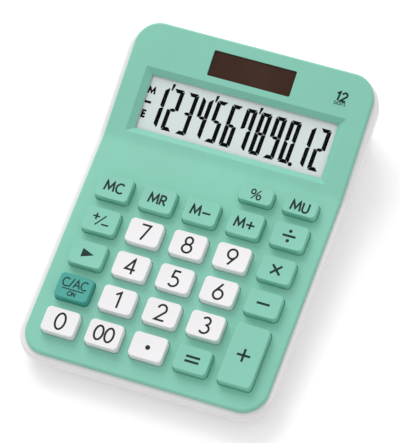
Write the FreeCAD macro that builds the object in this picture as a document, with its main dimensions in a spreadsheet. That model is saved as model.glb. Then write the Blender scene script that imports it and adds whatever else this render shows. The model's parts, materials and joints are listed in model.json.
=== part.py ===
"""Desk calculator: a wedge-shaped case with a bent top cover, twenty-six sprung keys and a segment display.

Frame: +X to the user's right, +Y away from the user, +Z up, origin on the table under the middle of the case.
The keypad frame has its origin at the cover's front edge, X to the right, Y up the slope and Z out of the cover.
The display frame is the same beyond the crease, where the cover bends upwards.
"""
import FreeCAD, Part
import math
import os
import Sketcher
from FreeCAD import Placement, Rotation, Vector

# Driving dimensions in millimetres and degrees. A drop is a depth under the cover's top face.
DIMENSIONS = {
    "case_width": 106.5, "case_depth": 147.0, "case_height": 29.5, "case_corner": 12.5,
    "rim_side": 2.5, "rim_front": 2.4, "rim_back": 0.4, "rim_drop": 1.8, "band_drop": 6.0,
    "band_top_round": 1.2, "band_under_round": 1.6, "wall": 1.8, "floor_height": 1.0,
    "tub_inset": 6.0, "tub_draft": 10.0, "tub_corner": 9.0, "tub_round": 2.0,
    "keypad_slope": 3.5, "display_bend": 11.4, "crease_at": 95.5, "display_length": 50.5, "crease_round": 15.0,
    "cover_corner": 10.0, "cover_skin": 1.7, "cover_edge_round": 0.8,
    "lip_inset": 1.6, "lip_thickness": 1.2, "lip_drop": 4.1, "lip_gap": 0.15, "pocket_drop": 4.2,
    "hook_width": 8.0, "hook_reach": 0.8, "hook_thickness": 0.8, "hook_top_drop": 2.9, "hook_gap": 0.2,
    "pitch_across": 18.5, "pitch_up": 15.0, "first_row_at": 13.5,
    "key_width": 14.0, "key_length": 10.5, "key_rise": 3.55, "key_draft": 1.5, "key_corner": 1.8,
    "key_edge_round": 0.6, "key_dish": 0.25, "key_skin": 1.3, "key_clearance": 0.3, "flange_margin": 0.6,
    "flange_drop": 1.8, "flange_thickness": 0.8, "stem_radius": 2.0,
    "small_key_length": 7.0, "small_row_at": 86.6, "tall_key_at": 21.0, "tall_key_length": 25.5,
    "mat_thickness": 0.6, "mat_width": 84.0, "board_drop": 5.4, "board_thickness": 1.2, "board_width": 86.0,
    "board_start": 7.5, "board_end": 90.9, "boss_clearance": 0.4,
    "dome_foot": 4.2, "dome_crown": 2.7, "dome_crown_drop": 3.2, "dome_skin": 0.45,
    "contact_radius": 1.8, "contact_thickness": 0.1,
    "bezel_at": 17.75, "bezel_width": 85.2, "bezel_height": 27.7, "bezel_drop": 2.1, "bezel_margin": 3.0,
    "view_width": 79.4, "view_height": 22.7,
    "window_width": 83.0, "window_height": 26.0, "window_thickness": 0.8, "stack_gap": 0.1,
    "glass_at": 17.0, "glass_width": 86.0, "glass_height": 28.0, "glass_ledge": 2.0, "glass_thickness": 0.9,
    "polariser_thickness": 0.2, "holder_wall": 1.1, "holder_floor": 1.2, "ear_at": 46.0, "ear_width": 3.0,
    "ear_length": 6.0, "ear_drop": 4.0, "ear_thickness": 1.2, "ribbon_width": 62.0, "ribbon_thickness": 0.15,
    "solar_at": 39.6, "solar_width": 35.2, "solar_height": 10.8, "solar_sink": 0.5, "solar_drop": 2.6,
    "solar_wall": 1.6, "solar_window_thickness": 0.9, "solar_cell_thickness": 1.0, "solar_fit": 0.1,
    "boss_radius": 1.5, "screw_radius": 0.8, "screw_head": 1.6, "screw_head_height": 0.8, "screw_length": 4.4,
    "thread_gap": 0.05,
    "post_radius": 3.2, "post_length": 8.0, "post_across": 39.0, "near_post_at": 94.5, "far_post_at": 38.5,
    "case_screw_radius": 1.3, "case_screw_head": 2.4, "case_head_height": 1.2, "case_screw_length": 8.0,
    "post_web": 1.8, "head_gap": 0.2,
    "foot_radius": 4.5, "foot_thickness": 1.6, "foot_across": 36.0, "foot_along": 52.0,
    "bay_width": 28.0, "bay_length": 19.0, "bay_at": 46.0, "bay_top": 9.2, "bay_wall": 1.0,
    "hatch_thickness": 1.5, "hatch_gap": 0.2, "cell_across": -4.0, "cell_radius": 5.8, "cell_height": 5.4,
    "cell_base": 2.75, "hatch_screw_across": 8.6, "leaf_thickness": 0.25, "leaf_width": 5.0,
    "wire_radius": 0.45, "resin_radius": 5.5, "resin_height": 1.3, "capacitor_radius": 2.5,
    "capacitor_height": 4.5, "label_width": 44.0, "label_length": 22.0, "label_thickness": 0.1,
}
D = dict(DIMENSIONS)
REACH = 60.0  # deeper than the case, for shapes that are trimmed later
SPAN = 220.0  # longer than the case, likewise

# Key name, column from the centre, row from the front.
STANDARD_KEYS = [
    ("key_0", -2, 0), ("key_00", -1, 0), ("key_point", 0, 0), ("key_equals", 1, 0),
    ("key_clear_on", -2, 1), ("key_1", -1, 1), ("key_2", 0, 1), ("key_3", 1, 1),
    ("key_backspace", -2, 2), ("key_4", -1, 2), ("key_5", 0, 2), ("key_6", 1, 2), ("key_minus", 2, 2),
    ("key_sign", -2, 3), ("key_7", -1, 3), ("key_8", 0, 3), ("key_9", 1, 3), ("key_multiply", 2, 3),
    ("key_memory_clear", -2, 4), ("key_memory_recall", -1, 4), ("key_memory_minus", 0, 4),
    ("key_memory_plus", 1, 4), ("key_divide", 2, 4),
]
SMALL_KEYS = [("key_percent", 1), ("key_mark_up", 2)]
TALL_KEYS = [("key_plus", 2)]

# Boss places between the keys, in key columns and rows. The second stands clear of the tall key's flange.
BOARD_BOSSES = [(-1.5, 0.5), (1.465, 0.5), (-0.5, 1.5), (0.5, 1.5),
                (-1.5, 2.5), (1.5, 2.5), (-0.5, 3.5), (0.5, 3.5)]
HOOKS_ACROSS = (-28.0, 0.0, 28.0)

doc = FreeCAD.newDocument("DeskCalculator")
sheet = doc.addObject("Spreadsheet::Sheet", "Dims")
for row, (alias, number) in enumerate(DIMENSIONS.items(), start=1):
    sheet.set("A%d" % row, alias)
    sheet.set("B%d" % row, str(number))
    sheet.setAlias("B%d" % row, alias)
doc.recompute()

finished = []


def value(alias):
    return D[alias]


def sine(angle):
    return math.sin(math.radians(angle))


# ---- frames ----
display_slope = D["keypad_slope"] + D["display_bend"]
front_height = D["case_height"] - D["crease_at"] * sine(D["keypad_slope"]) - D["display_length"] * sine(display_slope)
WORLD = Placement()
KEYPAD = Placement(Vector(0, -D["case_depth"] / 2 + D["rim_front"], front_height),
                   Rotation(Vector(1, 0, 0), D["keypad_slope"]))
DISPLAY = KEYPAD.multiply(Placement(Vector(0, D["crease_at"], 0), Rotation(Vector(1, 0, 0), D["display_bend"])))


# ---- helpers ----
def dims(text):
    """Puts the sheet's name in front of each alias in an expression."""
    out, word = "", ""
    for letter in text + " ":
        if letter.isalnum() or letter == "_":
            word += letter
            continue
        out += ("Dims." + word if word in DIMENSIONS else word) + letter
        word = ""
    return out.strip()


def bind(obj, **expressions):
    """Binds properties to expressions made of the sheet's aliases."""
    for name, text in expressions.items():
        obj.setExpression(name, dims(text))
    return obj


def keep(obj, node):
    """Marks a finished sub-part: its label is the node's name."""
    obj.Label = node
    finished.append((node, obj))
    return obj


def at(frame, x, y, z):
    return frame.multiply(Placement(Vector(x, y, z), Rotation()))


def box(name, width, length, height, frame, x, y, z):
    """A box centred on x and y and standing on z in a frame."""
    made = doc.addObject("Part::Box", name)
    bind(made, Length=width, Width=length, Height=height)
    doc.recompute()
    made.Placement = at(frame, x - made.Length.Value / 2, y - made.Width.Value / 2, z)
    return made


def cylinder(name, radius, height, frame, x, y, z):
    """A cylinder standing on z in a frame."""
    made = doc.addObject("Part::Cylinder", name)
    bind(made, Radius=radius, Height=height)
    made.Placement = at(frame, x, y, z)
    return made


def cone(name, low_radius, high_radius, height, frame, x, y, z):
    """A cone frustum standing on z in a frame."""
    made = doc.addObject("Part::Cone", name)
    bind(made, Radius1=low_radius, Radius2=high_radius, Height=height)
    made.Placement = at(frame, x, y, z)
    return made


def funnel(name, top_width, top_height, low_width, low_height, depth, frame, y):
    """A four-sided frustum that narrows downwards from the frame's own plane."""
    made = doc.addObject("Part::Wedge", name)
    bind(made, Ymin="0 - (%s)" % depth, X2min="0 - (%s)/2" % top_width, X2max="(%s)/2" % top_width,
         Z2min="0 - (%s)/2" % top_height, Z2max="(%s)/2" % top_height,
         Xmin="0 - (%s)/2" % low_width, Xmax="(%s)/2" % low_width,
         Zmin="0 - (%s)/2" % low_height, Zmax="(%s)/2" % low_height)
    made.Ymax = 0
    made.Placement = at(frame, 0, y, 0).multiply(Placement(Vector(), Rotation(Vector(1, 0, 0), 90)))
    return made


def cut(name, base, tool):
    made = doc.addObject("Part::Cut", name)
    made.Base = base
    made.Tool = tool
    return made


def fuse(name, shapes):
    made = doc.addObject("Part::MultiFuse", name)
    made.Shapes = shapes
    return made


def common(name, shapes):
    made = doc.addObject("Part::MultiCommon", name)
    made.Shapes = shapes
    return made


def group(name, parts):
    """Several separate solids in one node."""
    made = doc.addObject("Part::Compound", name)
    made.Links = parts
    return made


def fillet(base, name, radius, pick):
    """Rounds the base's edges that the test picks."""
    doc.recompute()
    made = doc.addObject("Part::Fillet", name)
    made.Base = base
    made.Edges = [(i, radius, radius) for i, edge in enumerate(base.Shape.Edges, start=1) if pick(edge)]
    return made


def middle(edge):
    return edge.valueAt((edge.FirstParameter + edge.LastParameter) / 2)


def upright(edge, frame=WORLD):
    """True for a straight edge along the frame's Z."""
    axis = frame.Rotation.multVec(Vector(0, 0, 1))
    ends = [vertex.Point for vertex in edge.Vertexes]
    return len(ends) == 2 and abs(abs((ends[1] - ends[0]).dot(axis)) - edge.Length) < 1e-6


def rounded_box(name, width, length, height, corner, frame, x, y, z):
    """A box with its four upright edges rounded."""
    return fillet(box(name + "_block", width, length, height, frame, x, y, z), name, corner,
                  lambda edge: upright(edge, frame))


def under(name, drop, crease_round=0.0):
    """All the room under the bent surface that lies the given drop beneath the cover's top face."""
    near = box(name + "_near", "%f" % SPAN, "%f" % SPAN, "%f - (%s)" % (REACH, drop), KEYPAD, 0, 0, -REACH)
    far = box(name + "_far", "%f" % SPAN, "%f" % SPAN, "%f - (%s)" % (REACH, drop), DISPLAY, 0, 0, -REACH)
    both = fuse(name, [near, far])
    if not crease_round:
        return both

    def crease(edge):
        place = KEYPAD.inverse().multVec(middle(edge))
        return abs(place.x) < 1 and abs(place.y - D["crease_at"]) < 2 and place.z > -D["band_drop"]
    return fillet(both, name + "_creased", crease_round, crease)


def outline(name, side, front, back, corner):
    """An upright prism inside the case's plan, inset from its sides, front and back."""
    made = doc.addObject("Part::Box", name + "_block")
    bind(made, Length="case_width - 2*(%s)" % side, Width="case_depth - (%s) - (%s)" % (front, back),
         Height="2 * case_height")
    doc.recompute()
    made.Placement = Placement(Vector(-made.Length.Value / 2, 0, -D["case_height"] / 2), Rotation())
    made.setExpression(".Placement.Base.y", dims("(%s) - case_depth/2" % front))
    return fillet(made, name, corner, upright)


def rim_edges(drop, front, back):
    """A test for the outer edges of a surface at a drop; front and back are the plan's ends in Y."""
    def pick(edge):
        point = middle(edge)
        near = KEYPAD.inverse().multVec(point)
        far = DISPLAY.inverse().multVec(point)
        on_surface = abs(max(near.z, far.z) + drop) < 0.15 if near.z > far.z else abs(far.z + drop) < 0.15
        on_surface = on_surface or abs(near.z + drop) < 0.15 and near.y < D["crease_at"]
        outer = abs(point.x) > 1 or point.y < front + 1 or point.y > back - 1
        return on_surface and outer
    return pick


# ---- places ----
def key_places():
    """Each key's name, place in the keypad frame and the alias of its length."""
    rows = [(name, column * D["pitch_across"], D["first_row_at"] + step * D["pitch_up"], "key_length")
            for name, column, step in STANDARD_KEYS]
    rows += [(name, column * D["pitch_across"], D["small_row_at"], "small_key_length") for name, column in SMALL_KEYS]
    rows += [(name, column * D["pitch_across"], D["tall_key_at"], "tall_key_length") for name, column in TALL_KEYS]
    return rows


def boss_places():
    return [(i * D["pitch_across"], D["first_row_at"] + j * D["pitch_up"]) for i, j in BOARD_BOSSES]


def post_places():
    """The case screws' places: X and Y in the world, and the cover's underside there."""
    near = KEYPAD.multVec(Vector(0, D["near_post_at"], 0))
    near.z -= D["cover_skin"] / math.cos(math.radians(D["keypad_slope"]))
    far = DISPLAY.multVec(Vector(0, D["far_post_at"], 0))
    far.z -= D["cover_skin"] / math.cos(math.radians(display_slope))
    return [(side * D["post_across"], p.y, p.z) for p in (near, far) for side in (-1, 1)]


# ---- keys ----
def sketch_rectangle(body, name, width, length, height):
    """A centred rectangle in the body's XY plane, raised to a height, with its sides from the sheet."""
    sketch = body.newObject("Sketcher::SketchObject", name)
    plane = [feature for feature in body.Origin.OriginFeatures if feature.Role == "XY_Plane"][0]
    sketch.AttachmentSupport = [(plane, "")]
    sketch.MapMode = "FlatFace"
    sketch.AttachmentOffset = Placement(Vector(0, 0, height), Rotation())
    corners = [Vector(-5, -4, 0), Vector(5, -4, 0), Vector(5, 4, 0), Vector(-5, 4, 0)]
    for i in range(4):
        sketch.addGeometry(Part.LineSegment(corners[i], corners[(i + 1) % 4]))
    for i in range(4):
        sketch.addConstraint(Sketcher.Constraint("Coincident", i, 2, (i + 1) % 4, 1))
    for i, kind in enumerate(("Horizontal", "Vertical", "Horizontal", "Vertical")):
        sketch.addConstraint(Sketcher.Constraint(kind, i))
    sketch.addConstraint(Sketcher.Constraint("Symmetric", 0, 1, 1, 2, -1, 1))
    across = sketch.addConstraint(Sketcher.Constraint("DistanceX", 0, 1, 0, 2, 10))
    up = sketch.addConstraint(Sketcher.Constraint("DistanceY", 1, 1, 1, 2, 8))
    sketch.renameConstraint(across, "across")
    sketch.renameConstraint(up, "up")
    sketch.setExpression("Constraints.across", dims(width))
    sketch.setExpression("Constraints.up", dims(length))
    return sketch


def pad(body, name, width, length, height, depth, kind="PartDesign::Pad"):
    """A pad or pocket that runs down from a height in the body."""
    made = body.newObject(kind, name)
    made.Profile = sketch_rectangle(body, name + "_outline", width, length, height)
    bind(made, Length=depth)
    made.Reversed = kind == "PartDesign::Pad"
    return made


def round_edges(body, name, base, radius, pick):
    doc.recompute()
    made = body.newObject("PartDesign::Fillet", name)
    made.Base = (base, ["Edge%d" % i for i, edge in enumerate(base.Shape.Edges, start=1) if pick(edge)])
    bind(made, Radius=radius)
    return made


def key(node, x, y, length):
    """A dished, drafted cap with a stop flange, hollow from below, and a stem that presses its dome."""
    body = doc.addObject("PartDesign::Body", node)
    cap = pad(body, node + "_cap", "key_width", length, D["key_rise"], "key_rise + flange_drop + flange_thickness")
    cap.TaperAngle = D["key_draft"]
    corner_reach = D["key_width"] / 2 - 1
    corners = round_edges(body, node + "_corners", cap, "key_corner",
                          lambda edge: edge.BoundBox.ZLength > D["key_rise"] and abs(middle(edge).x) > corner_reach)
    rounded = round_edges(body, node + "_top_round", corners, "key_edge_round",
                          lambda edge: edge.BoundBox.ZMin > D["key_rise"] - 0.01)
    dish = body.newObject("PartDesign::SubtractiveSphere", node + "_dish")
    bind(dish, Radius="(key_width*key_width + %s*%s) / (8*key_dish)" % (length, length))
    doc.recompute()
    dish.Placement = Placement(Vector(0, 0, D["key_rise"] - D["key_dish"] + dish.Radius.Value), Rotation())
    skirt = pad(body, node + "_flange", "key_width + 2*key_clearance + 2*flange_margin",
                length + " + 2*key_clearance + 2*flange_margin", -D["flange_drop"], "flange_thickness")
    edge_reach = D["key_width"] / 2 + D["key_clearance"]
    eased = round_edges(body, node + "_flange_corners", skirt, "key_corner",
                        lambda edge: upright(edge) and abs(middle(edge).x) > edge_reach)
    hollow = pad(body, node + "_hollow", "key_width - 2*key_skin", length + " - 2*key_skin",
                 -D["flange_drop"] - D["flange_thickness"],
                 "flange_drop + flange_thickness + key_rise - key_skin - key_dish", "PartDesign::Pocket")
    hollow.Reversed = True
    stem = body.newObject("PartDesign::AdditiveCylinder", node + "_stem")
    bind(stem, Radius="stem_radius", Height="dome_crown_drop + key_rise - key_skin")
    stem.Placement = Placement(Vector(0, 0, -D["dome_crown_drop"]), Rotation())
    doc.recompute()
    assert cap.Shape.Volume > corners.Shape.Volume > rounded.Shape.Volume > dish.Shape.Volume
    assert hollow.Shape.Volume < eased.Shape.Volume and stem.Shape.Volume > hollow.Shape.Volume
    body.Placement = at(KEYPAD, x, y, 0)
    return keep(body, node)


# ---- top cover ----
def key_holes():
    """Rounded holes that the caps stand in."""
    return [rounded_box("hole_" + node, "key_width + 2*key_clearance", length + " + 2*key_clearance", "8",
                        D["key_corner"] + D["key_clearance"] / 2, KEYPAD, x, y, -4)
            for node, x, y, length in key_places()]


def top_cover():
    """The bent cover: a skin with a hanging lip, key holes, the display's funnel, the solar pocket and bosses."""
    front = -D["case_depth"] / 2 + D["rim_front"]
    back = D["case_depth"] / 2 - D["rim_back"]
    plan = outline("cover_plan", "rim_side", "rim_front", "rim_back", D["cover_corner"])
    top = under("cover_top", "0", D["crease_round"])
    solid = fillet(common("cover_solid", [plan, top]), "cover_eased", D["cover_edge_round"],
                   rim_edges(0.0, front, back))
    plate = cut("cover_plate", solid, under("cover_skin_room", "cover_skin"))
    lip_plan = outline("lip_plan", "rim_side + lip_inset", "rim_front + lip_inset", "rim_back + lip_inset",
                       D["cover_corner"] - D["lip_inset"])
    lip_inner = outline("lip_inner", "rim_side + lip_inset + lip_thickness", "rim_front + lip_inset + lip_thickness",
                        "rim_back + lip_inset + lip_thickness", D["cover_corner"] - D["lip_inset"] - D["lip_thickness"])
    lip = cut("lip_ring", cut("lip_band", common("lip_block", [lip_plan, under("lip_top", "cover_skin - 0.5")]),
                              under("lip_room", "lip_drop")), lip_inner)
    seat_drop = "%s" % (D["cover_skin"] - 0.5)
    display_seat = box("display_seat", "bezel_width + 2*bezel_margin", "bezel_height + 2*bezel_margin/2",
                       "bezel_drop - " + seat_drop, DISPLAY, 0, D["bezel_at"], -D["bezel_drop"])
    solar_seat = box("solar_seat", "solar_width + 2*solar_wall", "solar_height + 2*solar_wall",
                     "solar_drop + 1 - " + seat_drop, DISPLAY, 0, D["solar_at"], -D["solar_drop"] - 1)
    solids = [plate, lip, display_seat, solar_seat]
    holes = key_holes()
    holes.append(funnel("display_funnel", "bezel_width", "bezel_height", "view_width", "view_height",
                        "bezel_drop", DISPLAY, D["bezel_at"]))
    holes.append(rounded_box("solar_pocket", "solar_width", "solar_height", "solar_drop + 3", 0.6,
                             DISPLAY, 0, D["solar_at"], -D["solar_drop"]))
    for side in (-1, 1):
        holes.append(cylinder("solar_lead_hole_%d" % side, "2*wire_radius", "3", DISPLAY,
                              side * 10.0, D["solar_at"], -D["solar_drop"] - 2))
    for i, (x, y) in enumerate(boss_places()):
        solids.append(cylinder("boss_%d" % i, "boss_radius", "board_drop - 1.2", KEYPAD, x, y, -D["board_drop"]))
        holes.append(cylinder("boss_bore_%d" % i, "screw_radius + thread_gap", "screw_length - board_thickness + 0.2",
                              KEYPAD, x, y, -D["board_drop"]))
    for side in (-1, 1):
        solids.append(cylinder("ear_boss_%d" % side, "boss_radius", "ear_drop - 1.2", DISPLAY,
                               side * D["ear_at"], D["bezel_at"], -D["ear_drop"]))
        holes.append(cylinder("ear_bore_%d" % side, "screw_radius + thread_gap", "2.7", DISPLAY,
                              side * D["ear_at"], D["bezel_at"], -D["ear_drop"]))
    for i, (x, y, z) in enumerate(post_places()):
        post = cylinder("post_%d" % i, "post_radius", "post_length + 3", WORLD, x, y, z - D["post_length"])
        solids.append(common("post_trimmed_%d" % i, [post, under("post_top_%d" % i, "1.0")]))
        holes.append(cylinder("post_bore_%d" % i, "case_screw_radius + thread_gap", "post_length - 0.8", WORLD,
                              x, y, z - D["post_length"]))
    for x in HOOKS_ACROSS:
        solids.append(box("hook_%d" % x, "hook_width", "hook_reach + lip_thickness", "hook_thickness", KEYPAD,
                          x, D["lip_inset"] + (D["lip_thickness"] - D["hook_reach"]) / 2,
                          -D["hook_top_drop"] - D["hook_thickness"]))
    return keep(cut("top_cover", fuse("cover_solids", solids), fuse("cover_holes", holes)), "top_cover")


# ---- bottom case ----
def tub(name, inset, height, corner, bottom_round):
    """A drafted tub that widens upwards from a flat bottom."""
    body = doc.addObject("PartDesign::Body", name)
    made = pad(body, name + "_pad", "case_width - 2*(%s)" % inset, "case_depth - 2*(%s)" % inset, 0, "40")
    made.Reversed = False
    made.TaperAngle = D["tub_draft"]
    corners = round_edges(body, name + "_corners", made, "%f" % corner,
                          lambda edge: edge.BoundBox.ZLength > 30)
    round_edges(body, name + "_round", corners, "%f" % bottom_round, lambda edge: edge.BoundBox.ZMax < 0.01)
    body.Placement = at(WORLD, 0, 0, height)
    return body


def bottom_case():
    """The lower case: a rounded band under the cover's edge and a drafted tub, with posts and a battery bay."""
    front, back = -D["case_depth"] / 2, D["case_depth"] / 2
    plan = outline("case_plan", "0", "0", "0", D["case_corner"])
    block = cut("band_block", common("band_top", [plan, under("rim_surface", "rim_drop", D["crease_round"])]),
                under("band_floor", "band_drop"))
    eased = fillet(block, "band_eased", D["band_top_round"], rim_edges(D["rim_drop"], front, back))
    band = fillet(eased, "band", D["band_under_round"], rim_edges(D["band_drop"], front, back))
    outer = common("tub_outer", [tub("tub", "tub_inset", D["floor_height"], D["tub_corner"], D["tub_round"]),
                                 under("tub_top", "band_drop - 1")])
    shell = fuse("case_block", [band, outer])
    cavity = tub("tub_cavity", "tub_inset + wall", D["floor_height"] + D["wall"], D["tub_corner"] - D["wall"], 1.0)
    pocket = cut("pocket", outline("pocket_plan", "rim_side + lip_inset - lip_gap", "rim_front + lip_inset - lip_gap",
                                   "rim_back + lip_inset - lip_gap",
                                   D["cover_corner"] - D["lip_inset"] + D["lip_gap"]),
                 under("pocket_floor", "pocket_drop"))
    hollow = cut("case_hollow", cut("case_opened", shell, cavity), pocket)

    solids, holes = [hollow], []
    for i, (x, y, z) in enumerate(post_places()):
        top = z - D["post_length"]
        solids.append(cylinder("case_post_%d" % i, "post_radius + 0.2", "%f" % (top - D["floor_height"]), WORLD,
                               x, y, D["floor_height"]))
        holes.append(cylinder("counterbore_%d" % i, "case_screw_head + head_gap",
                              "%f - post_web + 1" % (top - D["floor_height"]), WORLD, x, y, D["floor_height"] - 1))
        holes.append(cylinder("case_bore_%d" % i, "case_screw_radius + head_gap", "post_web + 2", WORLD,
                              x, y, top - D["post_web"] - 1))
    solids.append(box("bay", "bay_width", "bay_length", "bay_top - floor_height", WORLD,
                      0, D["bay_at"], D["floor_height"]))
    for i, (x, y) in enumerate(foot_places()):
        holes.append(cylinder("foot_recess_%d" % i, "foot_radius + 0.05", "foot_thickness", WORLD, x, y, 0))
    holes.append(box("hatch_opening", "bay_width - 2*bay_wall", "bay_length - 2*bay_wall", "hatch_thickness + 1.1",
                     WORLD, 0, D["bay_at"], D["floor_height"] - 1))
    holes.append(cylinder("cell_pocket", "cell_radius + 0.3", "cell_height + leaf_thickness + 1", WORLD,
                          D["cell_across"], D["bay_at"], D["cell_base"] - 0.6))
    holes.append(box("leaf_slot", "1.2", "leaf_width + 0.4", "12", WORLD,
                     D["cell_across"] - D["cell_radius"] - 0.5, D["bay_at"], D["cell_base"] - 0.6))
    holes.append(box("spring_slot", "leaf_width + 0.4", "leaf_width + 0.4", "4", WORLD,
                     D["cell_across"], D["bay_at"], D["cell_base"] + D["cell_height"]))
    holes.append(cylinder("hatch_bore", "screw_radius + thread_gap", "5", WORLD,
                          D["hatch_screw_across"], D["bay_at"], D["floor_height"] + 1))
    for x in HOOKS_ACROSS:
        holes.append(box("hook_slot_%d" % x, "hook_width + 3*hook_gap", "hook_reach + 2*hook_gap + 1",
                         "hook_thickness + 2*hook_gap", KEYPAD, x,
                         D["lip_inset"] - D["hook_reach"] - D["hook_gap"] + (D["hook_reach"] + 1) / 2,
                         -D["hook_top_drop"] - D["hook_thickness"] - D["hook_gap"]))
    return keep(cut("bottom_case", fuse("case_solids", solids), fuse("case_holes", holes)), "bottom_case")


def foot_places():
    return [(i * D["foot_across"], j * D["foot_along"]) for i in (-1, 1) for j in (-1, 1)]


# ---- screws ----
def screw(name, shank, length, head, head_height, frame, x, y, z):
    """A pan-head screw that points up from z, with a cross recess in its head."""
    body = fuse(name + "_body", [cylinder(name + "_shank", shank, length, frame, x, y, z),
                                 cylinder(name + "_head", head, head_height, frame, x, y, z - value(head_height))])
    slots = [box(name + "_slot_%d" % i, long, wide, "0.6", frame, x, y, z - value(head_height) - 0.1)
             for i, (long, wide) in enumerate((("1.3*" + shank, "0.4*" + shank), ("0.4*" + shank, "1.3*" + shank)))]
    return cut(name, body, fuse(name + "_cross", slots))


def screws():
    board = [screw("board_screw_%d" % i, "screw_radius", "screw_length", "screw_head", "screw_head_height", KEYPAD,
                   x, y, -D["board_drop"] - D["board_thickness"])
             for i, (x, y) in enumerate(boss_places())]
    keep(group("board_screws", board), "board_screws")
    case = [screw("case_screw_%d" % i, "case_screw_radius", "case_screw_length", "case_screw_head",
                  "case_head_height", WORLD, x, y, z - D["post_length"] - D["post_web"])
            for i, (x, y, z) in enumerate(post_places())]
    keep(group("case_screws", case), "case_screws")
    holder = [screw("holder_screw_%d" % side, "screw_radius", "screw_length - 0.8", "screw_head",
                    "screw_head_height", DISPLAY, side * D["ear_at"], D["bezel_at"],
                    -D["ear_drop"] - D["ear_thickness"]) for side in (-1, 1)]
    keep(group("holder_screws", holder), "holder_screws")
    hatch = screw("hatch_screw", "screw_radius", "screw_length", "screw_head", "screw_head_height", WORLD,
                  D["hatch_screw_across"], D["bay_at"], D["floor_height"] + D["screw_head_height"] + 0.1)
    keep(hatch, "battery_cover_screw")


# ---- keyboard under the keys ----
def circuit_board():
    length = D["board_end"] - D["board_start"]
    plate = rounded_box("board_plate", "board_width", "board_end - board_start", "board_thickness", 2.0, KEYPAD,
                        0, D["board_start"] + length / 2, -D["board_drop"] - D["board_thickness"])
    bores = [cylinder("board_bore_%d" % i, "screw_radius + head_gap", "board_thickness + 2", KEYPAD,
                      x, y, -D["board_drop"] - D["board_thickness"] - 1) for i, (x, y) in enumerate(boss_places())]
    keep(cut("circuit_board", plate, fuse("board_bores", bores)), "circuit_board")
    pads = [cylinder("contact_" + node, "contact_radius", "contact_thickness", KEYPAD, x, y, -D["board_drop"])
            for node, x, y, length in key_places()]
    keep(group("board_contacts", pads), "board_contacts")


def key_mat():
    """A silicone sheet on the board with a hollow dome under every key."""
    length = D["board_end"] - D["board_start"]
    base = -D["board_drop"]
    solids = [rounded_box("mat_sheet", "mat_width", "board_end - board_start - 0.4", "mat_thickness", 2.0, KEYPAD,
                          0, D["board_start"] + length / 2, base)]
    holes = []
    for node, x, y, _ in key_places():
        solids.append(cone("dome_" + node, "dome_foot", "dome_crown", "board_drop - dome_crown_drop", KEYPAD,
                           x, y, base))
        holes.append(cone("dome_room_" + node, "dome_foot - dome_skin - 0.3", "dome_crown - dome_skin",
                          "board_drop - dome_crown_drop - dome_skin", KEYPAD, x, y, base))
    for i, (x, y) in enumerate(boss_places()):
        holes.append(cylinder("mat_hole_%d" % i, "boss_radius + boss_clearance", "2", KEYPAD, x, y, base - 0.5))
    keep(cut("key_mat", fuse("mat_solids", solids), fuse("mat_holes", holes)), "key_mat")


# ---- display and solar parts ----
def display_layer(node, width, height, thickness, top_drop, centre):
    """A flat plate of the display stack, by its top face's drop and its centre up the display."""
    return keep(box(node, width, height, thickness, DISPLAY, 0, centre, -top_drop - value(thickness)), node)


def display_parts():
    drop = D["bezel_drop"]
    display_layer("display_window", "window_width", "window_height", "window_thickness", drop, D["bezel_at"])
    drop += D["window_thickness"] + D["stack_gap"]
    centre = D["glass_at"]
    front_centre = centre + D["glass_ledge"] / 2
    display_layer("display_front_polariser", "window_width", "glass_height - glass_ledge - 0.6",
                  "polariser_thickness", drop, front_centre)
    drop += D["polariser_thickness"]
    display_layer("display_front_glass", "glass_width", "glass_height - glass_ledge", "glass_thickness",
                  drop, front_centre)
    drop += D["glass_thickness"]
    display_layer("display_rear_glass", "glass_width", "glass_height", "glass_thickness", drop, centre)
    drop += D["glass_thickness"]
    display_layer("display_reflector", "window_width", "glass_height - 0.6", "polariser_thickness", drop, centre)
    drop += D["polariser_thickness"]
    display_holder(drop)
    ribbon(drop)


def display_holder(inside_drop):
    """An open tray behind the glass, held by a screwed ear on each side, with a slot for the ribbon."""
    top = D["bezel_drop"] + D["window_thickness"] + D["stack_gap"]
    depth = inside_drop + D["holder_floor"] - top
    tray = box("holder_block", "glass_width + 2*holder_wall + 0.2", "glass_height + 2*holder_wall + 0.2", "%f" % depth,
               DISPLAY, 0, D["glass_at"], -top - depth)
    ears = [box("holder_ear_%d" % side, "ear_width + 1.2", "ear_length", "ear_thickness", DISPLAY,
                side * (D["ear_at"] - 0.6), D["bezel_at"], -D["ear_drop"] - D["ear_thickness"]) for side in (-1, 1)]
    room = box("holder_room", "glass_width + 0.2", "glass_height + 0.2", "%f" % (inside_drop - top + 1), DISPLAY,
               0, D["glass_at"], -inside_drop)
    slot = box("ribbon_slot", "ribbon_width + 2", "6", "%f" % (inside_drop - top + 1), DISPLAY,
               0, D["glass_at"] - D["glass_height"] / 2 - 2.5, -inside_drop)
    bores = [cylinder("ear_hole_%d" % side, "screw_radius + head_gap", "ear_thickness + 2", DISPLAY,
                      side * D["ear_at"], D["bezel_at"], -D["ear_drop"] - D["ear_thickness"] - 1) for side in (-1, 1)]
    body = cut("holder_hollow", fuse("holder_solids", [tray] + ears), fuse("holder_holes", [room, slot] + bores))
    keep(body, "display_holder")


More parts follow.
